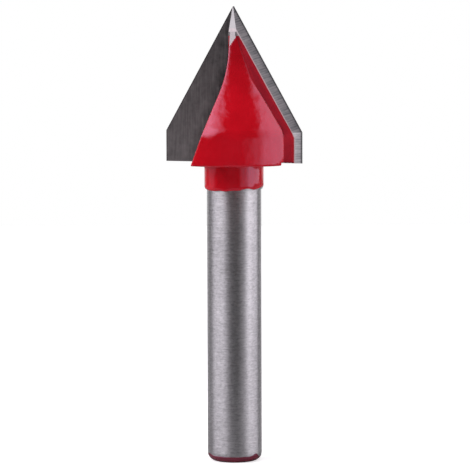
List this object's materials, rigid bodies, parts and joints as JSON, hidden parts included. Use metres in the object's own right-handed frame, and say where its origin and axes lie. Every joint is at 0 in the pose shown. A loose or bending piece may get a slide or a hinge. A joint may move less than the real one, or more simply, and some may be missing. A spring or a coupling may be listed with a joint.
{
  "type": "v groove router bit",
  "caption": "V groove router bit: straight shank, collar and two-lobed head with brazed carbide plates that cut a sixty degree groove.",
  "frame": {"origin": "centre of the shank's flat end face, on the bit's axis", "axes": "+Z along the bit's axis from the shank's end to the cutting tip, X across both cutting edges"},
  "size_m": [0.016, 0.015, 0.0503],
  "materials": {
    "shank_steel": "satin, finely ground",
    "carbide": "matte rake face, ground flanks",
    "braze": "dull silver braze",
    "red_paint": "glossy dipped enamel"
  },
  "bodies": {
    "root": {"steel_body": "shank_steel", "carbide_plate_1": "carbide", "carbide_plate_2": "carbide", "braze_1": "braze", "braze_2": "braze"}
  },
  "joints": []
}
